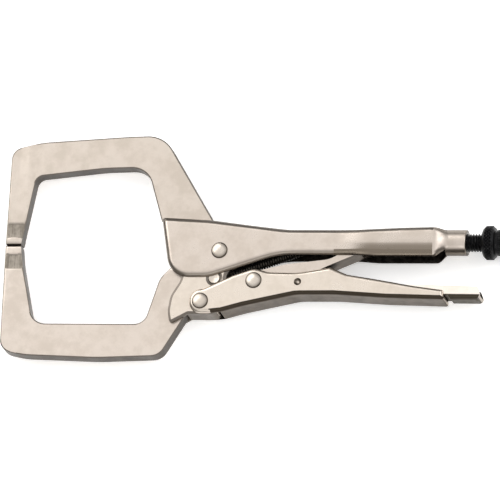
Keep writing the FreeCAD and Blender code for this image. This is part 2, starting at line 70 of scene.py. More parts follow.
class Shader:
    """A Principled material and short ways to add the nodes that feed it."""

    def __init__(self, name, metallic, roughness, color):
        self.material = bpy.data.materials.new(name)
        self.material.use_nodes = True
        self.nodes = self.material.node_tree.nodes
        self.links = self.material.node_tree.links
        self.surface = self.nodes["Principled BSDF"]
        self.surface.inputs["Metallic"].default_value = metallic
        self.surface.inputs["Roughness"].default_value = roughness
        self.surface.inputs["Base Color"].default_value = (*color, 1)
        self.place = self.nodes.new("ShaderNodeTexCoord")

    def stretched(self, scale):
        """Object coordinates scaled apart along the three axes."""
        mapping = self.nodes.new("ShaderNodeMapping")
        mapping.inputs["Scale"].default_value = scale
        self.links.new(self.place.outputs["Object"], mapping.inputs["Vector"])
        return mapping.outputs["Vector"]

    def noise(self, scale, detail=4.0, stretch=(1, 1, 1), rough=0.55):
        texture = self.nodes.new("ShaderNodeTexNoise")
        texture.inputs["Scale"].default_value = scale
        texture.inputs["Detail"].default_value = detail
        texture.inputs["Roughness"].default_value = rough
        self.links.new(self.stretched(stretch), texture.inputs["Vector"])
        return texture.outputs["Fac"]

    def ramp(self, value, low, high, out_low=0.0, out_high=1.0, smooth=False):
        """Map low..high to out_low..out_high, held at the ends."""
        node = self.nodes.new("ShaderNodeMapRange")
        node.interpolation_type = "SMOOTHSTEP" if smooth else "LINEAR"
        limits = {"From Min": low, "From Max": high, "To Min": out_low, "To Max": out_high}
        for socket, number in limits.items():
            node.inputs[socket].default_value = number
        self.links.new(value, node.inputs["Value"])
        return node.outputs["Result"]

    def math(self, operation, first, second):
        node = self.nodes.new("ShaderNodeMath")
        node.operation = operation
        for socket, value in zip(node.inputs, (first, second)):
            if isinstance(value, (int, float)):
                socket.default_value = value
            else:
                self.links.new(value, socket)
        return node.outputs["Value"]

    def mix(self, factor, first, second):
        node = self.nodes.new("ShaderNodeMix")
        node.data_type = "RGBA"
        self.links.new(factor, node.inputs["Factor"])
        for socket, value in ((node.inputs["A"], first), (node.inputs["B"], second)):
            if isinstance(value, tuple):
                socket.default_value = (*value, 1)
            else:
                self.links.new(value, socket)
        return node.outputs["Result"]

    def facing(self):
        """How squarely the surface faces along the pivots' axis, 0 to 1; the mask for painted shade on tilted
        faces.
        """
        split = self.nodes.new("ShaderNodeSeparateXYZ")
        self.links.new(self.place.outputs["Normal"], split.inputs["Vector"])
        return self.math("ABSOLUTE", split.outputs["Z"], 0.0)

    def color(self, value):
        self.links.new(value, self.surface.inputs["Base Color"])

    def roughness(self, value):
        self.links.new(value, self.surface.inputs["Roughness"])

    def bump(self, height, distance, strength=1.0):
        node = self.nodes.new("ShaderNodeBump")
        node.inputs["Distance"].default_value = distance
        node.inputs["Strength"].default_value = strength
        self.links.new(height, node.inputs["Height"])
        self.links.new(node.outputs["Normal"], self.surface.inputs["Normal"])


def satin_nickel(name, light, shade, fold_shade, edge, roughness, turn=(0.70, 0.965)):
    """Plated steel: mottled faces, faint brush lines, and painted shade on folded corners and cut edges.

    Surfaces square to the pivots have the light and shade colours of the random mottle. Upright ones get the edge
    colour and those between the fold_shade colour, both painted shade standing in for the darker reflections of
    tilted faces; turn blends them into the face.
    """
    shader = Shader(name, 1.0, roughness, light)
    mottle = shader.ramp(shader.noise(95, 6, rough=0.62), 0.36, 0.66, smooth=True)
    face = shader.mix(mottle, light, shade)
    streaks = shader.noise(420, 3, (0.12, 1.0, 1.0))
    pits = shader.ramp(shader.noise(1500, 2), 0.60, 0.74, 0.0, 0.22)
    soiled = shader.mix(shader.math("ADD", shader.ramp(streaks, 0.56, 0.74, 0.0, 0.14), pits), face, shade)
    grime = shader.ramp(shader.noise(260, 5), 0.35, 0.65)
    # Painted shade: the colour darkens towards the edge and fold_shade colours as the surface tilts away from the
    # pivots' axis.
    facing = shader.facing()
    upright = shader.mix(grime, edge, tuple(channel * 1.4 for channel in edge))
    side = shader.mix(shader.ramp(facing, 0.08, 0.40, smooth=True), upright, fold_shade)
    shader.color(shader.mix(shader.ramp(facing, *turn, smooth=True), side, soiled))
    fine = shader.noise(2600, 2)
    shader.roughness(shader.math("ADD", shader.ramp(mottle, 0, 1, roughness - 0.04, roughness + 0.05),
                                 shader.ramp(fine, 0.3, 0.7, -0.03, 0.03)))
    grain = shader.math("ADD", shader.math("MULTIPLY", fine, 0.6), shader.math("MULTIPLY", streaks, 0.6))
    waves = shader.math("MULTIPLY", shader.noise(60, 2), 1.3)
    shader.bump(shader.math("ADD", grain, waves), 0.00002, 0.55)
    return shader.material


def channel_painted_shade():
    """Inside of the pressed channels: near-black, painted shade for the shaded hollow, with a faint random film.
    """
    shader = Shader("channel_painted_shade", 0.9, 0.5, (0.030, 0.026, 0.022))
    film = shader.noise(420, 4)
    # Painted shade: near-black colours stand for the shade inside the channel's hollow.
    shader.color(shader.mix(shader.ramp(film, 0.42, 0.72), (0.016, 0.014, 0.012), (0.060, 0.052, 0.044)))
    shader.roughness(shader.ramp(film, 0.3, 0.7, 0.42, 0.62))
    shader.bump(shader.noise(1800, 3), 0.00002, 0.5)
    return shader.material


def ground_steel():
    """Milled relief beside each jaw tip: darker, with fine parallel cutter lines."""
    shader = Shader("ground_steel", 1.0, 0.42, (0.22, 0.20, 0.17))
    lines = shader.noise(1500, 2, (1.0, 0.05, 1.0))
    cloud = shader.noise(300, 4)
    shader.color(shader.mix(shader.ramp(shader.math("ADD", lines, cloud), 0.8, 1.2),
                            (0.17, 0.15, 0.125), (0.30, 0.27, 0.235)))
    shader.roughness(shader.ramp(lines, 0.3, 0.7, 0.36, 0.50))
    shader.bump(lines, 0.00004, 0.5)
    return shader.material


def black_oxide():
    """Blackened screw and knob: oily dark steel, a little lighter where hands wear it."""
    shader = Shader("black_oxide", 0.85, 0.38, (0.012, 0.012, 0.013))
    wear = shader.noise(700, 5)
    shader.color(shader.mix(shader.ramp(wear, 0.56, 0.78), (0.010, 0.010, 0.011), (0.060, 0.058, 0.056)))
    shader.roughness(shader.ramp(shader.noise(1500, 3), 0.3, 0.7, 0.30, 0.48))
    shader.bump(shader.noise(3000, 3), 0.00002, 0.5)
    return shader.material


def plain_steel():
    """Bare and oiled inner pieces: bushes, sleeve and screw nose."""
    shader = Shader("inner_steel", 1.0, 0.35, (0.36, 0.35, 0.33))
    stain = shader.noise(350, 5)
    shader.color(shader.mix(shader.ramp(stain, 0.35, 0.7), (0.42, 0.41, 0.39), (0.20, 0.185, 0.165)))
    shader.roughness(shader.ramp(shader.noise(900, 3), 0.3, 0.7, 0.26, 0.46))
    shader.bump(shader.noise(2500, 2, (0.2, 1.0, 1.0)), 0.00002, 0.5)
    return shader.material


def spring_steel():
    """Oil-tempered spring wire, nearly black with a faint sheen."""
    shader = Shader("spring_steel", 0.9, 0.42, (0.030, 0.027, 0.024))
    oil = shader.noise(900, 4)
    shader.color(shader.mix(shader.ramp(oil, 0.45, 0.75), (0.020, 0.018, 0.016), (0.11, 0.095, 0.078)))
    shader.roughness(shader.ramp(oil, 0.3, 0.7, 0.34, 0.52))
    shader.bump(shader.noise(4000, 2), 0.00001, 0.5)
    return shader.material


def studio_floor():
    shader = Shader("studio_floor", 0.0, 0.85, (0.93, 0.93, 0.93))
    paper = shader.noise(700, 3)
    shader.color(shader.mix(shader.ramp(paper, 0.3, 0.7), (0.925, 0.925, 0.925), (0.94, 0.94, 0.94)))
    shader.surface.inputs["Emission Color"].default_value = (1, 1, 1, 1)
    shader.surface.inputs["Emission Strength"].default_value = 0.38
    shader.bump(paper, 0.00003, 0.2)
    return shader.material


# One nickel plate in three tones: FORGED is a darker copy as painted shade, BRIGHT a lighter copy as painted
# light.
PLATE_LIGHT = (0.585, 0.522, 0.470)
PLATE_SHADE = (0.49, 0.432, 0.382)
FORGED_LIGHT = (0.545, 0.487, 0.435)
FORGED_SHADE = (0.46, 0.406, 0.356)
BRIGHT_LIGHT = (0.665, 0.598, 0.530)
BRIGHT_SHADE = (0.57, 0.508, 0.445)
PRESSED_SHADE_TURN = (0.88, 0.985)
ROLLED_SHADE_TURN = (0.965, 0.9995)
# In each plated finish below, the fold and edge colours are painted shade on tilted faces.
LOOKS = {
    "satin_nickel": satin_nickel("satin_nickel", PLATE_LIGHT, PLATE_SHADE,
                                 (0.24, 0.21, 0.18), (0.125, 0.105, 0.085), 0.33, PRESSED_SHADE_TURN),
    # bright_nickel is a lighter copy of the plate, painted light; its milder edge colour is painted light on the
    # cut edges.
    "bright_nickel": satin_nickel("bright_nickel", BRIGHT_LIGHT, BRIGHT_SHADE,
                                  (0.52, 0.465, 0.405), (0.46, 0.405, 0.35), 0.32, PRESSED_SHADE_TURN),
    # Painted light: the lever's plate is made almost white.
    "tail_painted_light": satin_nickel("tail_painted_light", (0.90, 0.84, 0.77), (0.78, 0.715, 0.64),
                                (0.60, 0.54, 0.48), (0.30, 0.26, 0.22), 0.32, PRESSED_SHADE_TURN),
    # Painted shade on the tail's rolled underside.
    "tail_roll": satin_nickel("tail_roll", BRIGHT_LIGHT, BRIGHT_SHADE,
                              (0.052, 0.045, 0.032), (0.058, 0.050, 0.036), 0.42, (0.990, 0.9999)),
    # Painted shade: near-black fold and edge colours on the arms' sides; forged_bright is a lighter copy for the
    # lower arm, painted light.
    "forged_nickel": satin_nickel("forged_nickel", FORGED_LIGHT, FORGED_SHADE,
                                  (0.060, 0.049, 0.039), (0.045, 0.037, 0.029), 0.36),
    "forged_bright": satin_nickel("forged_bright", PLATE_LIGHT, PLATE_SHADE,
                                  (0.075, 0.061, 0.048), (0.050, 0.041, 0.032), 0.36),
    # Painted shade on rolled backs and sloping rims.
    "back_roll_painted_shade": satin_nickel("back_roll_painted_shade", PLATE_LIGHT, PLATE_SHADE,
                              (0.15, 0.132, 0.115), (0.13, 0.112, 0.095), 0.38, ROLLED_SHADE_TURN),
    # Painted shade on the lower handle's web and rolled corners.
    "web_roll_painted_shade": satin_nickel("web_roll_painted_shade", BRIGHT_LIGHT, BRIGHT_SHADE,
                             (0.045, 0.036, 0.027), (0.098, 0.081, 0.064), 0.40, (0.990, 0.9999)),
    # Painted shade on the lower half of the grip and on the knuckle's web.
    "grip_painted_shade": satin_nickel("grip_painted_shade", PLATE_LIGHT, PLATE_SHADE,
                                (0.185, 0.155, 0.124), (0.10, 0.083, 0.066), 0.30, (0.982, 0.997)),
    # Painted shade on the barrel's top and bottom.
    "barrel_painted_shade": satin_nickel("barrel_painted_shade", PLATE_LIGHT, PLATE_SHADE,
                                  (0.22, 0.19, 0.16), (0.10, 0.085, 0.07), 0.34, (0.60, 0.97)),
    # Painted shade in a ring towards each rivet head's rim.
    "rivet_nickel": satin_nickel("rivet_nickel", (0.66, 0.60, 0.54), (0.55, 0.49, 0.43),
                                 (0.075, 0.062, 0.049), (0.05, 0.041, 0.032), 0.30, (0.925, 0.992)),
    "ground_steel": ground_steel(),
    "channel_painted_shade": channel_painted_shade(),
    "spring_steel": spring_steel(),
    "black_oxide": black_oxide(),
    "inner_steel": plain_steel(),
    "floor": studio_floor(),
}


# ---------------------------------------------------------------- mesh tools

SHARP_DEGREES = 50.0
# Material slots; INSIDE, ROLL, GRIP, BARREL and RIM take finishes with painted shade.
INSIDE, ROLL, GRIP, BARREL = 1, 2, 3, 4
RELIEF, RIM = 1, 2
FLAT = 0.998
UPRIGHT = 0.03
WEB_FACING = 0.6
LEVEL_SLACK = 0.05 * MM
WIRE_SMOOTH = 80


def keep(bm, name, materials, smooth_angle=32.0):
    """Turn a bmesh into a linked object, smooth where faces meet at less than smooth_angle degrees."""
    bmesh.ops.recalc_face_normals(bm, faces=bm.faces)
    mesh = bpy.data.meshes.new(name)
    bm.to_mesh(mesh)
    bm.free()
    for material in materials:
        mesh.materials.append(LOOKS[material])
    mesh.shade_smooth()
    mesh.set_sharp_from_angle(angle=math.radians(smooth_angle))
    piece = bpy.data.objects.new(name, mesh)
    bpy.context.scene.collection.objects.link(piece)
    weighted = piece.modifiers.new("weighted", "WEIGHTED_NORMAL")
    weighted.keep_sharp = True
    weighted.weight = 100
    return piece


def stand_for(piece, node):
    """The piece takes the place of a CAD node: its body and its spot."""
    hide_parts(node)
    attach(piece, BODY_OF[node])
    return piece


def clean_copy(node):
    """The CAD node's mesh with flat faces joined up again, ready for edge work."""
    bm = bmesh.new()
    bm.from_mesh(frame["nodes"][node].data)
    bmesh.ops.remove_doubles(bm, verts=bm.verts, dist=1e-7)
    bmesh.ops.dissolve_limit(bm, angle_limit=math.radians(0.4), verts=bm.verts, edges=bm.edges)
    return bm


def sharp_edges(bm):
    limit = math.radians(SHARP_DEGREES)
    return [edge for edge in bm.edges if len(edge.link_faces) == 2 and edge.calc_face_angle(0) > limit]


def bevel(bm, edges, width, segments=2, material=-1):
    bmesh.ops.bevel(bm, geom=edges, offset=width, offset_type="OFFSET", segments=segments, profile=0.5,
                    affect="EDGES", clamp_overlap=True, material=material)


def slice_up(bm, axis, low, high, step, keep_face):
    """Cut the faces that keep_face accepts by evenly spaced planes across one axis."""
    normal = Vector((0, 0, 0))
    normal[axis] = 1
    count = max(1, round(abs(high - low) / step))
    for index in range(count + 1):
        point = normal * (low + (high - low) * index / count)
        faces = [face for face in bm.faces if keep_face(face)]
        edges = dict.fromkeys(edge for face in faces for edge in face.edges)
        verts = dict.fromkeys(vert for face in faces for vert in face.verts)
        bmesh.ops.bisect_plane(bm, geom=[*verts, *edges, *faces], dist=1e-7, plane_co=point, plane_no=normal)


def darken_inside(bm, inner_half, web_side, stop=1.0):
    """Give a channel's inside its own material, painted shade; web_side is the Y sense that its web faces
    outwards.
    """
    for face in bm.faces:
        centre = face.calc_center_median()
        within = abs(centre.z) < inner_half + 0.1 * MM and centre.x < stop
        if within and face.normal.y * web_side < 0.5 and abs(face.normal.x) < 0.8:
            face.material_index = INSIDE


def mark_rolled(bm, web_side, start=-1.0):
    """Give the rolled corners of a pressed channel, and the outside of its web, a material of their own that
    paints them in shade.
    """
    for face in bm.faces:
        outward = face.normal.y * web_side
        rolled = UPRIGHT < abs(face.normal.z) < FLAT and outward > UPRIGHT
        web = outward > WEB_FACING
        if (rolled or web) and max(vert.co.x for vert in face.verts) > start:
            face.material_index = ROLL


def anywhere(place):
    return True


def slope_rim(bm, half, width, drop, material, where=anywhere):
    """Turn the border of the two flat sides into a narrow sloping rim, where the piece wants one."""
    for side in (-1, 1):
        flat = [face for face in bm.faces if face.normal.z * side > 0.99
                and abs(face.calc_center_median().z - side * half) < LEVEL_SLACK]
        ring = bmesh.ops.inset_region(bm, faces=flat, thickness=width, use_even_offset=False,
                                      use_boundary=True)["faces"]
        region = set(flat) | set(ring)
        outer = {vert for face in ring for vert in face.verts
                 if any(other not in region for other in vert.link_faces)}
        for face in ring:
            if where(face.calc_center_median()):
                face.material_index = material
        for vert in outer:
            if where(vert.co):
                vert.co.z -= side * drop


def smoothstep(value, low, high):
    part = min(1.0, max(0.0, (value - low) / (high - low)))
    return part * part * (3 - 2 * part)


def ring_grid(bm, rings, closed_ends=True):
    """Skin a list of closed rings of points."""
    rows = [[bm.verts.new(point) for point in ring] for ring in rings]
    around = len(rows[0])
    for row, following in zip(rows, rows[1:]):
        for index in range(around):
            after = (index + 1) % around
            bm.faces.new((row[index], row[after], following[after], following[index]))
    if closed_ends:
        bm.faces.new(rows[0])
        bm.faces.new(list(reversed(rows[-1])))
    return rows


def turned(name, profile, centre, segments, materials):
    """Spin a profile of (height, radius) round the upright line through centre."""
    bm = bmesh.new()
    rings = []
    for height, radius in profile:
        ring = []
        for index in range(segments):
            angle = 2 * math.pi * index / segments
            ring.append(centre + Vector((radius * math.cos(angle), radius * math.sin(angle), height)))
        rings.append(ring)
    ring_grid(bm, rings)
    return keep(bm, name, materials)


def wire(name, path, radius, materials, sides=10):
    """A round wire along a list of points."""
    bm = bmesh.new()
    rings = []
    across = Vector((0, 0, 1))
    for index, point in enumerate(path):
        ahead = (path[min(index + 1, len(path) - 1)] - path[max(index - 1, 0)]).normalized()
        across = (across - ahead * across.dot(ahead)).normalized()
        up = ahead.cross(across)
        angles = [2 * math.pi * side / sides for side in range(sides)]
        rings.append([point + (across * math.cos(a) + up * math.sin(a)) * radius for a in angles])
    ring_grid(bm, rings)
    return keep(bm, name, materials, WIRE_SMOOTH)


# ---------------------------------------------------------------- jaw arms

TIP_LENGTH = 14.4 * MM
TIP_CELL = 0.42 * MM
RELIEF_DEPTH = 0.42 * MM
ARM_RIM = 0.6 * MM
ARM_DROP = 0.25 * MM
NOSE_ROUND = 1.9 * MM
NOSE_CELL = 0.2 * MM
NOSE_BULGE = 0.9 * MM
TIP_MIDDLE = 0.5 * MM
TIP_HALF = 4.6 * MM
TIP_SPAN = (-3.6 * MM, 5.6 * MM)
TIP_EDGE = 8 * MM
TIP_CLEAR = 12 * MM
RELIEF_STEP = 0.5 * MM
ARM_SMOOTH = 20


def relief(place, sense, first, last):
    """Depth share of the milled relief at a spot beside the tip; its inner border bows round the nose."""
    along = place.y * sense
    inner = first + NOSE_BULGE * (1 - ((place.x - TIP_MIDDLE) / TIP_HALF) ** 2)
    rise = smoothstep(along, inner, inner + RELIEF_STEP)
    return rise * (1 - smoothstep(along, last - RELIEF_STEP, last))


def build_arm(node, sense, first, last, finish):
    """A jaw arm with sloping rims, a rounded nose and a milled relief on both faces."""
    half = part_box(node)[1].z
    bm = clean_copy(node)

    def clear_of_tip(place):
        return place.y * sense > TIP_LENGTH or place.x > TIP_CLEAR

    def beside_tip(face):
        centre = face.calc_center_median()
        near = min(abs(vert.co.y) for vert in face.verts) < TIP_LENGTH
        left = min(vert.co.x for vert in face.verts) < TIP_CLEAR
        flat = abs(face.normal.z) > 0.98 and abs(abs(centre.z) - half) < 0.2 * MM
        return near and left and flat

    slope_rim(bm, half, ARM_RIM, ARM_DROP, RIM, clear_of_tip)
    slice_up(bm, 1, sense * 0.1 * MM, sense * NOSE_ROUND, NOSE_CELL, beside_tip)
    slice_up(bm, 1, sense * NOSE_ROUND, sense * TIP_LENGTH, TIP_CELL, beside_tip)
    slice_up(bm, 0, *TIP_SPAN, TIP_CELL * 1.6, beside_tip)
    for vert in bm.verts:
        along = vert.co.y * sense
        if abs(vert.co.z) < half - 0.1 * MM or vert.co.x > TIP_EDGE or along > last:
            continue
        if along < NOSE_ROUND:
            drop = NOSE_ROUND - math.sqrt(max(0.0, NOSE_ROUND ** 2 - (NOSE_ROUND - along) ** 2))
        else:
            drop = relief(vert.co, sense, first, last) * RELIEF_DEPTH
        vert.co.z -= math.copysign(drop, vert.co.z)
    for face in bm.faces:
        centre = face.calc_center_median()
        near_face = centre.x < TIP_EDGE + MM and abs(centre.z) > half - 1.2 * MM
        if near_face and relief(centre, sense, first, last) > 0.5:
            face.material_index = RELIEF
    # Rims and sides carry painted shade from the rolled-back and forged finishes.
    piece = keep(bm, node + "_forged", [finish, "ground_steel", "back_roll_painted_shade"], ARM_SMOOTH)
    return stand_for(piece, node)


# ---------------------------------------------------------------- pressed sheet

SHEET = 2.0 * MM
UPPER_ROUND = 0.25 * MM
LOWER_ROUND = 0.12 * MM
LEVER_ROUND = 0.2 * MM
LINK_ROUND = 0.7 * MM
LEVER_SHEET = 2.2 * MM
GRIP_START = 176 * MM
GRIP_FULL = 194 * MM
NECK_START = 229.5 * MM
NECK_END = 237.4 * MM
BARREL_WALL = 1.2 * MM
GRIP_CROWN = 1.0 * MM
GRIP_RIDGE = -1.2 * MM
GRIP_SLOPE = 0.18
GRIP_BLEND = 1.0 * MM
GRIP_LOWEST = -7.2 * MM
GRIP_TOP = 5 * MM
GRIP_SHELL = (4.5 * MM, 7.5 * MM)
BARREL_OVERLAP = 2.0 * MM
BARREL_SIDES = 64
BARREL_LIP = 0.5 * MM
LEVER_TAIL = 225 * MM
WEB_ROLL_START = 116 * MM
KNUCKLE_RIM = 1.3 * MM
KNUCKLE_DROP = 0.45 * MM
KNUCKLE_SMOOTH = 12


def add_barrel(bm, start, stop, axis_y, outer, inner):
    """Round barrel with a rolled rear lip, skinned round the screw's axis."""
    lip = BARREL_LIP
    profile = [(start, inner), (start, outer)]
    profile += [(start + (stop - lip - start) * step / 6, outer) for step in range(1, 7)]
    for step in range(1, 5):
        angle = step / 4 * math.pi / 2
        profile.append((stop - lip + lip * math.sin(angle), outer - lip + lip * math.cos(angle)))
    profile += [(stop, inner + 0.2 * MM), (stop - 0.3 * MM, inner)]
    rings = []
    for along, radius in profile:
        turns = [2 * math.pi * index / BARREL_SIDES for index in range(BARREL_SIDES)]
        rings.append([(along, axis_y + radius * math.cos(a), radius * math.sin(a)) for a in turns])
    rows = ring_grid(bm, rings, closed_ends=False)
    for index in range(BARREL_SIDES):
        after = (index + 1) % BARREL_SIDES
        bm.faces.new((rows[-1][index], rows[-1][after], rows[0][after], rows[0][index]))
    for face in dict.fromkeys(face for row in rows for vert in row for face in vert.link_faces):
        face.material_index = BARREL


def build_upper_handle():
    """Pressed channel: crowned grip sides that are swaged down to the round barrel."""
    node = "upper_handle"
    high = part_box(node)[1]
    sleeve_low, sleeve_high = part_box("screw_sleeve")
    axis_y = (sleeve_low.y + sleeve_high.y) / 2
    barrel = (sleeve_high.y - sleeve_low.y) / 2 + BARREL_WALL
    side = high.z
    bm = clean_copy(node)
    beyond = [face for face in bm.faces if min(vert.co.x for vert in face.verts) > NECK_END - 2.5 * MM
              or face.calc_center_median().x > NECK_END]
    bmesh.ops.delete(bm, geom=beyond, context="FACES")
    mark_rolled(bm, 1)
    bevel(bm, sharp_edges(bm), UPPER_ROUND)

    def in_grip(face):
        return max(vert.co.x for vert in face.verts) > GRIP_START

    slice_up(bm, 0, GRIP_START, NECK_START, 2.4 * MM, in_grip)
    slice_up(bm, 0, NECK_START, NECK_END, 0.5 * MM, in_grip)
    slice_up(bm, 1, GRIP_LOWEST, high.y, 1.1 * MM, in_grip)
    slice_up(bm, 2, -side, side, 1.35 * MM, in_grip)
    # Painted shade: the lower grip faces and the barrel get finishes that darken as they tilt.
    for face in bm.faces:
        middle = face.calc_center_median()
        if middle.x > NECK_START:
            face.material_index = BARREL
        elif middle.x > GRIP_START and middle.y < GRIP_TOP:
            face.material_index = GRIP
    darken_inside(bm, side - SHEET, 1, NECK_END)
    for vert in bm.verts:
        place = vert.co
        if place.x < GRIP_START:
            continue
        offset = Vector((place.y - axis_y, place.z))
        neck = smoothstep(place.x, NECK_START, NECK_END)
        crown = smoothstep(place.x, GRIP_START, GRIP_FULL) * (1 - neck)
        below = max(0.0, GRIP_RIDGE - offset.x)
        fall = GRIP_SLOPE * (math.hypot(below, GRIP_BLEND) - GRIP_BLEND)
        on_wall = place.y < 0 and abs(place.z) > side - SHEET + 0.3 * MM
        share = 1.0 if on_wall else smoothstep(abs(place.z), *GRIP_SHELL)
        place.z += math.copysign(crown * share * (GRIP_CROWN - fall), place.z)
        if place.x > NECK_START:
            inner = abs(offset.y) < side - 1.2 * MM and offset.x < 6.6 * MM
            limit = (barrel - 1.1 * MM) if inner else barrel
            reach = max(offset.length, 1e-6)
            shrink = 1 + (min(1.0, limit / reach) - 1) * neck
            place.y = axis_y + offset.x * shrink
            place.z *= shrink
    add_barrel(bm, NECK_END - BARREL_OVERLAP, high.x, axis_y, barrel, barrel - BARREL_WALL)
    # The channel inside, rolled corners, grip and barrel finishes paint shade.
    finishes = ["satin_nickel", "channel_painted_shade", "back_roll_painted_shade", "grip_painted_shade", "barrel_painted_shade"]
    return stand_for(keep(bm, node + "_pressed", finishes), node)


def build_lower_handle():
    """Pressed channel with its web underneath; its cut edges get the bright finish's lighter edge colour, painted
    light.
    """
    node = "lower_handle"
    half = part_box(node)[1].z
    bm = clean_copy(node)
    mark_rolled(bm, -1, WEB_ROLL_START)
    # Cut edges take the lighter bright finish as painted light; web and inside get painted shade.
    for face in bm.faces:
        if abs(face.normal.z) < UPRIGHT and abs(face.calc_center_median().z) > half - SHEET:
            face.material_index = 0
    bevel(bm, sharp_edges(bm), LOWER_ROUND, material=0)
    darken_inside(bm, half - SHEET, -1)
    piece = keep(bm, node + "_pressed", ["bright_nickel", "channel_painted_shade", "web_roll_painted_shade"])
    return stand_for(piece, node)


def build_lever():
    """Release lever pressed from sheet, its tail rolled under."""
    node = "release_lever"
    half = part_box(node)[1].z
    bm = clean_copy(node)
    mark_rolled(bm, -1, LEVER_TAIL)
    bevel(bm, sharp_edges(bm), LEVER_ROUND)
    darken_inside(bm, half - LEVER_SHEET, -1)
    # The plate is painted light; the rolled tail underside and the inside are painted shade.
    return stand_for(keep(bm, node + "_pressed", ["tail_painted_light", "channel_painted_shade", "tail_roll"]), node)


def build_knuckle():
    """Folded knuckle plate: its flat sides fall away to a sloping rim."""
    node = "knuckle"
    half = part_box(node)[1].z
    bm = clean_copy(node)
    rim, web = 1, 2
    slope_rim(bm, half, KNUCKLE_RIM, KNUCKLE_DROP, rim)
    for face in bm.faces:
        if face.normal.y < -WEB_FACING:
            face.material_index = web
    # The plate is the lighter bright copy, painted light; the rim and the web underneath carry painted shade.
    finishes = ["bright_nickel", "back_roll_painted_shade", "grip_painted_shade"]
    return stand_for(keep(bm, node + "_folded", finishes, KNUCKLE_SMOOTH), node)


def build_link():
    """Toggle link with rounded edges all round."""
    node = "toggle_link"
    bm = clean_copy(node)
    bevel(bm, sharp_edges(bm), LINK_ROUND, 3)
    return stand_for(keep(bm, node + "_forged", [SLOT_OF[node]]), node)


# ---------------------------------------------------------------- rivets

RIVET_RADIUS = 4.4 * MM
SHANK_SHARE = 0.68
LEAST_RADIUS = 0.05 * MM
RIM_ROUND = 0.35 * MM
RIM_LIFT = 0.12 * MM
DOME_STEPS = 10


def build_rivet(node):
    """Peened rivet: a shallow dome with a rounded rim on each end of a plain shank."""
    low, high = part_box(node)
    centre = (low + high) / 2
    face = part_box("upper_handle")[1].z
    radius = RIVET_RADIUS
    head = [(face, radius * 0.985), (face + RIM_LIFT, radius)]
    for step in range(1, 4):
        angle = step / 4 * math.pi / 2
        height = face + RIM_LIFT + RIM_ROUND * math.sin(angle)
        head.append((height, radius - RIM_ROUND * (1 - math.cos(angle))))
    start_height, start_reach = head[-1]
    for step in range(1, DOME_STEPS + 1):
        share = step / DOME_STEPS
        reach = start_reach * (1 - share) + LEAST_RADIUS * share
        head.append((start_height + (high.z - start_height) * (1 - (1 - share) ** 2), reach))
    shank = radius * SHANK_SHARE
    outline = [(-height, reach) for height, reach in reversed(head)]
    outline += [(-face, shank), (face, shank)] + head
    # The rivet finish paints shade in a ring towards the head's rim.
    piece = turned(node + "_peened", outline, Vector((centre.x, centre.y, 0)), 48, ["rivet_nickel"])
    return stand_for(piece, node)


def build_pin(node, hollow):
    """Flush pin with a rounded hollow punched into each end."""
    low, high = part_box(node)
    centre = (low + high) / 2
    radius = (high.x - low.x) / 2
    end = high.z
    rim = [(end - 0.25 * MM, radius), (end - 0.05 * MM, radius * 0.90), (end, radius * 0.82)]
    rim += [(end - hollow * step / 6, radius * 0.76 * math.cos(step / 6 * math.pi / 2) + LEAST_RADIUS)
            for step in range(1, 7)]
    outline = [(-height, reach) for height, reach in reversed(rim)] + rim
    # The rivet finish paints shade in a ring towards the pin's rim.
    piece = turned(node + "_punched", outline, Vector((centre.x, centre.y, 0)), 32, ["rivet_nickel"])
    return stand_for(piece, node)


# ---------------------------------------------------------------- screw and knob

PITCH = 1.5 * MM
THREAD_DEPTH = 0.82 * MM
SCREW_SIDES = 40
SCREW_PER_TURN = 10
SCREW_CHAMFER = 1.2 * MM
FLANGE_LENGTH = 6.4 * MM
FLANGE_SLOPE = 1.5 * MM
KNOB_GRIP_FROM = 7.6 * MM
KNOB_GRIP_CHAMFER = 1.2 * MM
KNOB_GRIP_RADIUS = 7.0 * MM
NECK_DEPTH = 0.8 * MM
KNOB_SIDES = 240
KNOB_STATIONS = 96
TEETH = 30
DIAMOND_DEPTH = 0.75 * MM
STRAIGHT_DEPTH = 0.4 * MM
SOCKET = 2.6 * MM
SCREW_SMOOTH = 50
KNOB_SMOOTH = 28


def rings_round(axis_y, stations, sides, reach_at):
    """Rings round a line along X; reach_at gives the radius at a distance along it and an angle."""
    rings = []
    for along in stations:
        ring = []
        for index in range(sides):
            angle = 2 * math.pi * index / sides
            reach = reach_at(along, angle)
            ring.append(Vector((along, axis_y + reach * math.cos(angle), reach * math.sin(angle))))
        rings.append(ring)
    return rings


def build_screw():
    """Rod with a real right-handed thread along its whole length."""
    node = "adjusting_screw"
    low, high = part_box(node)
    major = (high.y - low.y) / 2
    count = round((high.x - low.x) / PITCH * SCREW_PER_TURN)

    def thread(along, angle):
        chamfer = max(0.0, SCREW_CHAMFER - (along - low.x)) * 0.8
        phase = (along / PITCH - angle / (2 * math.pi)) % 1.0
        flank = min(1.0, max(0.0, (abs(phase - 0.5) * 2 - 0.12) / 0.72))
        return min(major - THREAD_DEPTH * flank, major - chamfer)

    stations = [low.x + (high.x - low.x) * station / count for station in range(count + 1)]
    bm = bmesh.new()
    ring_grid(bm, rings_round((low.y + high.y) / 2, stations, SCREW_SIDES, thread))
    return stand_for(keep(bm, "adjusting_screw_threaded", ["black_oxide"], SCREW_SMOOTH), node)


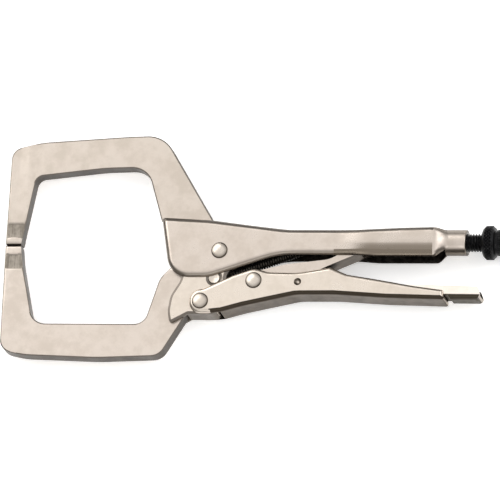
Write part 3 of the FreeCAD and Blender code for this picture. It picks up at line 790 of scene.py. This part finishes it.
def build_knob():
    """Knob with a coarse diamond knurl on the flange and a straight knurl on the rear grip."""
    node = "adjusting_knob"
    low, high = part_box(node)
    axis_y = (low.y + high.y) / 2
    flange = (high.y - low.y) / 2
    start = low.x
    length = high.x - start

    def plain_radius(along):
        if along < FLANGE_SLOPE:
            return flange - (FLANGE_SLOPE - along) * 0.95
        if along < FLANGE_LENGTH - FLANGE_SLOPE:
            return flange
        if along < FLANGE_LENGTH:
            return flange - (along - FLANGE_LENGTH + FLANGE_SLOPE) * 0.95
        if along < KNOB_GRIP_FROM:
            return KNOB_GRIP_RADIUS - NECK_DEPTH
        if along < length - KNOB_GRIP_CHAMFER:
            return KNOB_GRIP_RADIUS
        return KNOB_GRIP_RADIUS - (along - length + KNOB_GRIP_CHAMFER) * 0.9

    def knurl(along, angle):
        on_flange = smoothstep(along, 0.9 * MM, 1.9 * MM) * (1 - smoothstep(along, 4.6 * MM, 5.6 * MM))
        rear = smoothstep(along, length - 2 * MM, length - MM)
        on_grip = smoothstep(along, 7.9 * MM, 8.6 * MM) * (1 - rear)
        turn = angle * TEETH / (2 * math.pi)
        lead = along / (2 * math.pi * flange / TEETH)
        ridge = max(abs((turn + lead) % 1.0 - 0.5), abs((turn - lead) % 1.0 - 0.5)) * 2
        groove = smoothstep(ridge, 0.62, 0.98)
        straight = smoothstep(abs((turn * 1.2) % 1.0 - 0.5) * 2, 0.55, 0.95)
        return -DIAMOND_DEPTH * groove * on_flange - STRAIGHT_DEPTH * straight * on_grip

    def outside(along, angle):
        return plain_radius(along - start) + knurl(along - start, angle)

    stations = [start + length * index / KNOB_STATIONS for index in range(KNOB_STATIONS + 1)]
    rings = rings_round(axis_y, stations, KNOB_SIDES, outside)
    for along, reach in ((high.x, 4.6 * MM), (high.x - 0.4 * MM, 4.2 * MM), (high.x - SOCKET, 4.1 * MM)):
        rings += rings_round(axis_y, [along], KNOB_SIDES, lambda along, angle: reach)
    bm = bmesh.new()
    ring_grid(bm, rings)
    return stand_for(keep(bm, "adjusting_knob_knurled", ["black_oxide"], KNOB_SMOOTH), node)


# ---------------------------------------------------------------- return spring

WIRE = 0.6 * MM
COIL = 2.15 * MM
TURNS = 27
PER_TURN = 18
SPRING_SLOPE = 20.5
COIL_START, COIL_END = -41.5 * MM, -4.5 * MM
FRONT_HOOK, FRONT_RADIUS, FRONT_STEPS = -51.27 * MM, 2.8 * MM, 18
REAR_HOOK, REAR_RADIUS, REAR_STEPS = -2.5 * MM, 1.9 * MM, 14


def build_spring():
    """Close-wound tension spring with a long front hook and a small rear hook."""
    node = "return_spring"
    joint = [item for item in frame["joints"] if item["name"] == "spring_swing"][0]
    home = Vector(joint["pos_m"])
    slope = Matrix.Rotation(math.radians(SPRING_SLOPE), 4, "Z")
    local = [Vector((COIL_START - 1.0 * MM, FRONT_RADIUS, 0))]
    for index in range(FRONT_STEPS + 1):
        angle = math.pi / 2 + math.pi * index / FRONT_STEPS
        along = FRONT_HOOK + FRONT_RADIUS * math.cos(angle)
        local.append(Vector((along, FRONT_RADIUS * math.sin(angle), 0)))
    local.append(Vector((COIL_START - 2.0 * MM, -FRONT_RADIUS, 0)))
    for index in range(TURNS * PER_TURN + 1):
        angle = -math.pi / 2 + 2 * math.pi * index / PER_TURN
        along = COIL_START + (COIL_END - COIL_START) * index / (TURNS * PER_TURN)
        local.append(Vector((along, COIL * math.sin(angle), COIL * math.cos(angle))))
    local.append(Vector((COIL_END + 0.5 * MM, 0, -REAR_RADIUS)))
    for index in range(REAR_STEPS + 1):
        angle = -math.pi / 2 + math.pi * index / REAR_STEPS
        along = REAR_HOOK + REAR_RADIUS * math.cos(angle)
        local.append(Vector((along, 0, REAR_RADIUS * math.sin(angle))))
    local.append(Vector((COIL_END + 1.0 * MM, 0, REAR_RADIUS)))
    path = [home + slope @ point for point in local]
    return stand_for(wire("return_spring_coiled", path, WIRE, ["spring_steel"]), node)


# ---------------------------------------------------------------- pieces

SOFT_EDGE = 0.25 * MM

build_arm("upper_jaw_arm", 1, 3.2 * MM, 12.2 * MM, "forged_nickel")
build_arm("lower_jaw_arm", -1, 4.2 * MM, 13.4 * MM, "forged_bright")
build_upper_handle()
build_lower_handle()
build_knuckle()
build_lever()
build_link()
for rivet in ("main_pivot_rivet", "jaw_lever_rivet", "link_rivet"):
    build_rivet(rivet)
for pin, hollow_depth in (("knuckle_rivet", 0.30 * MM), ("release_lever_pin", 0.70 * MM)):
    build_pin(pin, hollow_depth)
build_screw()
build_knob()
build_spring()
for node in ("upper_arm_spacer_front", "upper_arm_spacer_back", "main_pivot_bush", "link_bush",
             "spring_anchor", "screw_sleeve", "screw_nose"):
    item = frame["nodes"][node]
    item.data.materials.clear()
    item.data.materials.append(LOOKS[SLOT_OF[node]])
    softener = item.modifiers.new("soft_edges", "BEVEL")
    softener.width = SOFT_EDGE
    softener.segments = 2
    softener.limit_method = "ANGLE"
    softener.harden_normals = True


# ---------------------------------------------------------------- floor, light and camera

VIEW = Vector((0.25, -0.32, 1.0)).normalized()
AIM = Vector((128.5, -1.67, 0)) * MM
DISTANCE = 10.0
FIELD = 265.0 * MM


def build_stage():
    """A wide floor just under the part."""
    floor_z = CAD_BOX[0].z
    bm = bmesh.new()
    bmesh.ops.create_grid(bm, x_segments=2, y_segments=2, size=6.0)
    for vert in bm.verts:
        vert.co.z = floor_z
    mesh = bpy.data.meshes.new("floor")
    bm.to_mesh(mesh)
    bm.free()
    mesh.materials.append(LOOKS["floor"])
    floor = bpy.data.objects.new("floor", mesh)
    bpy.context.scene.collection.objects.link(floor)


def area_light(name, place, aim, size, power, color=(1, 1, 1)):
    data = bpy.data.lights.new(name, "AREA")
    data.shape = "RECTANGLE"
    data.size, data.size_y = size
    data.energy = power
    data.color = color
    lamp = bpy.data.objects.new(name, data)
    lamp.location = place
    lamp.rotation_mode = "QUATERNION"
    lamp.rotation_quaternion = (Vector(aim) - Vector(place)).to_track_quat("-Z", "Y")
    bpy.context.scene.collection.objects.link(lamp)


def build_light():
    """A bright sky overhead that darkens to the horizon, a large soft panel and a low side panel."""
    world = bpy.data.worlds.new("studio")
    world.use_nodes = True
    nodes, links = world.node_tree.nodes, world.node_tree.links
    background = nodes["Background"]
    place = nodes.new("ShaderNodeTexCoord")
    split = nodes.new("ShaderNodeSeparateXYZ")
    ramp = nodes.new("ShaderNodeValToRGB")
    links.new(place.outputs["Generated"], split.inputs["Vector"])
    links.new(split.outputs["Z"], ramp.inputs["Fac"])
    links.new(ramp.outputs["Color"], background.inputs["Color"])
    ramp.color_ramp.elements[0].position = 0.25
    ramp.color_ramp.elements[0].color = (0.10, 0.095, 0.09, 1)
    ramp.color_ramp.elements[1].position = 0.85
    ramp.color_ramp.elements[1].color = (0.95, 0.94, 0.92, 1)
    background.inputs["Strength"].default_value = 1.15
    bpy.context.scene.world = world
    bpy.context.scene.view_settings.view_transform = "Standard"
    area_light("left", (-1.6, 1.5, 1.5), AIM, (2.4, 2.4), 46, (1.0, 0.985, 0.96))
    area_light("right", (1.9, 0.6, 1.3), AIM, (1.6, 1.8), 22, (0.98, 0.985, 1.0))
    area_light("front", (0.2, -2.4, 1.6), AIM, (2.4, 1.2), 16)


def build_camera():
    """A distant camera with a long lens, its picture's width along X."""
    across = (Vector((1, 0, 0)) - VIEW * VIEW.x).normalized()
    up = VIEW.cross(across)
    data = bpy.data.cameras.new("camera")
    data.sensor_width = 36.0
    data.lens = data.sensor_width * DISTANCE / FIELD
    data.clip_start = 0.1
    data.clip_end = 60
    camera = bpy.data.objects.new("camera", data)
    turn = Matrix((across, up, VIEW)).transposed().to_4x4()
    camera.matrix_world = Matrix.Translation(AIM + VIEW * DISTANCE) @ turn
    bpy.context.scene.collection.objects.link(camera)
    bpy.context.scene.camera = camera


build_stage()
build_light()
build_camera()
